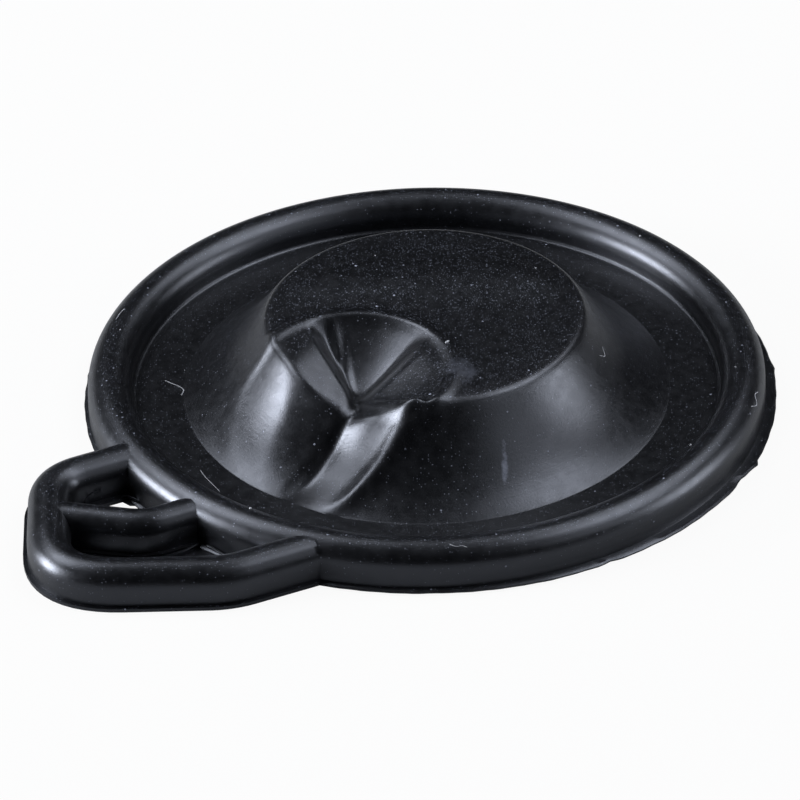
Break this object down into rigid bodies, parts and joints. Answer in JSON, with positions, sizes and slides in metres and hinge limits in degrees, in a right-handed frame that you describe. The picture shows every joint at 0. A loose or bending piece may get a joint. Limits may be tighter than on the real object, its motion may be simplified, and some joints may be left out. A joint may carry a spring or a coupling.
{
  "type": "diaphragm seal",
  "caption": "Moulded rubber diaphragm with a beaded rim, a flat web, a hollow dented hat and a windowed pull tab.",
  "frame": {"origin": "centre of the rim on the flat underside that seats on the housing", "axes": "+Z along the rim's axis, towards the hat's flat top; the pull tab reaches towards -X and -Y"},
  "size_m": [0.061, 0.058, 0.0084],
  "materials": {
    "rubber": "satin, near-black, a little dusty"
  },
  "bodies": {
    "root": {"diaphragm": "rubber"}
  },
  "joints": []
}
